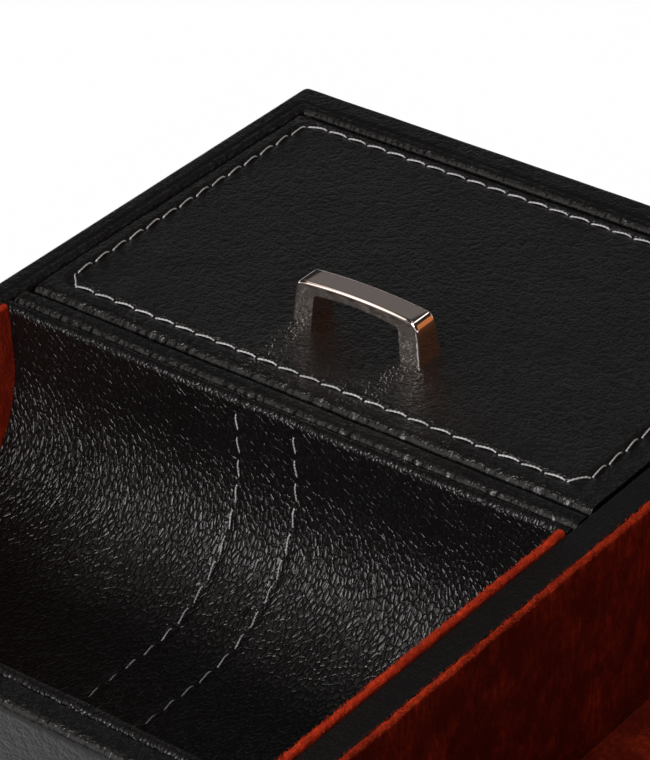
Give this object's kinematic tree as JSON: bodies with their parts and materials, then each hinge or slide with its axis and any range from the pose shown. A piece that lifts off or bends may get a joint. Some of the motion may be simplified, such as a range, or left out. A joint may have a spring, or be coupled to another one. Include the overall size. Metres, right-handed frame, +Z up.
{
  "type": "watch winder",
  "caption": "Leather-covered watch winder: motor-driven cups behind a hinged glass door, under an open valet tray with a lidded box and a curved trough.",
  "frame": {"origin": "on the standing surface under the middle of the case", "axes": "+Z up, -Y is the front with the glass door, +X to the right as seen from the front"},
  "size_m": [0.266, 0.198, 0.183],
  "materials": {
    "black_leather": "fine pebble grain, satin, wrapped round boards",
    "trough_leather": "coarser pebble grain, semi-gloss",
    "red_suede": "brushed red-orange suede",
    "cushion_suede": "stuffed suede cushion",
    "polished_metal": "polished nickel",
    "steel": "zinc plated",
    "board_steel": "plain sheet",
    "clear_glass": "clear float glass",
    "black_plastic": "fine texture",
    "gear_nylon": "moulded nylon",
    "brass_pinion": "turned and cut brass",
    "motor_can": "drawn steel can",
    "circuit_board": "green solder mask",
    "foot_rubber": "black rubber"
  },
  "bodies": {
    "case": {"left_wall": "black_leather", "right_wall": "black_leather", "back_wall": "black_leather", "tray_front_wall": "black_leather", "deck_board": "black_leather", "base_board": "black_leather", "partition_wall": "black_leather", "divider_bar": "black_leather", "trough_insert": "trough_leather", "trough_lining_left": "red_suede", "trough_lining_right": "red_suede", "bay_side_linings": "red_suede", "bay_end_linings": "red_suede", "bay_floor_pad": "red_suede", "box_liner": "red_suede", "box_floor_pad": "red_suede", "lid_pins": "steel", "catch_block": "steel", "door_pins": "steel", "fascia_panel": "black_leather", "trim_rings": "polished_metal", "motor_board": "board_steel", "axle_clips": "steel", "motor_screws": "steel", "rear_cover": "black_plastic", "rear_cover_screws": "steel", "control_board": "circuit_board", "switch_body": "black_plastic", "dc_inlet": "black_plastic", "feet": "foot_rubber", "foot_screws": "steel", "rotor_axle_left": "steel", "motor_left": "motor_can", "rotor_axle_right": "steel", "motor_right": "motor_can"},
    "lid": {"lid_board": "black_leather", "lid_lining": "red_suede", "lid_handle": "polished_metal", "lid_handle_screws": "steel"},
    "door": {"door_frame": "black_leather", "door_glass": "clear_glass", "glass_slip": "black_plastic", "door_handle": "polished_metal", "door_handle_screws": "steel", "door_magnet": "steel"},
    "rocker": {"power_rocker": "black_plastic"},
    "rotor_left": {"rotor_cup_left": "black_plastic", "cup_lining_left": "red_suede", "cushion_cheeks_left": "red_suede", "rotor_gear_left": "gear_nylon"},
    "pinion_left": {"motor_pinion_left": "brass_pinion"},
    "cushion_left": {"watch_cushion_left": "cushion_suede"},
    "knob_left": {"program_knob_left": "black_plastic"},
    "rotor_right": {"rotor_cup_right": "black_plastic", "cup_lining_right": "red_suede", "cushion_cheeks_right": "red_suede", "rotor_gear_right": "gear_nylon"},
    "pinion_right": {"motor_pinion_right": "brass_pinion"},
    "cushion_right": {"watch_cushion_right": "cushion_suede"},
    "knob_right": {"program_knob_right": "black_plastic"}
  },
  "joints": [
    {"name": "lid_hinge", "type": "hinge", "parent": "case", "child": "lid", "pos_m": [-0.065, 0.07895, 0.1715], "axis": [-1, 0, 0], "range_deg": [0, 100]},
    {"name": "door_hinge", "type": "hinge", "parent": "case", "child": "door", "pos_m": [-0.1215, -0.085, 0.07], "axis": [0, 0, -1], "range_deg": [0, 94]},
    {"name": "rocker_tilt", "type": "hinge", "parent": "case", "child": "rocker", "pos_m": [0, 0.085, 0.084], "axis": [1, 0, 0], "range_deg": [0, 18]},
    {"name": "rotor_left_spin", "type": "hinge", "parent": "case", "child": "rotor_left", "pos_m": [-0.0635, 0.02, 0.07], "axis": [0, 1, 0], "continuous": true},
    {"name": "pinion_left_spin", "type": "hinge", "parent": "case", "child": "pinion_left", "pos_m": [-0.026, 0.02, 0.07], "axis": [0, 1, 0], "continuous": true},
    {"name": "cushion_left_slide", "type": "slide", "parent": "rotor_left", "child": "cushion_left", "axis": [0, -1, 0], "range_m": [0, 0.036]},
    {"name": "knob_left_turn", "type": "hinge", "parent": "case", "child": "knob_left", "pos_m": [-0.042, 0.09, 0.07], "axis": [0, 1, 0], "range_deg": [0, 270]},
    {"name": "rotor_right_spin", "type": "hinge", "parent": "case", "child": "rotor_right", "pos_m": [0.0635, 0.02, 0.07], "axis": [0, 1, 0], "continuous": true},
    {"name": "pinion_right_spin", "type": "hinge", "parent": "case", "child": "pinion_right", "pos_m": [0.026, 0.02, 0.07], "axis": [0, 1, 0], "continuous": true},
    {"name": "cushion_right_slide", "type": "slide", "parent": "rotor_right", "child": "cushion_right", "axis": [0, -1, 0], "range_m": [0, 0.036]},
    {"name": "knob_right_turn", "type": "hinge", "parent": "case", "child": "knob_right", "pos_m": [0.042, 0.09, 0.07], "axis": [0, 1, 0], "range_deg": [0, 270]}
  ],
  "couplings": [
    {"joint": "pinion_left_spin", "follows": "rotor_left_spin", "ratio": -4},
    {"joint": "pinion_right_spin", "follows": "rotor_right_spin", "ratio": -4}
  ]
}
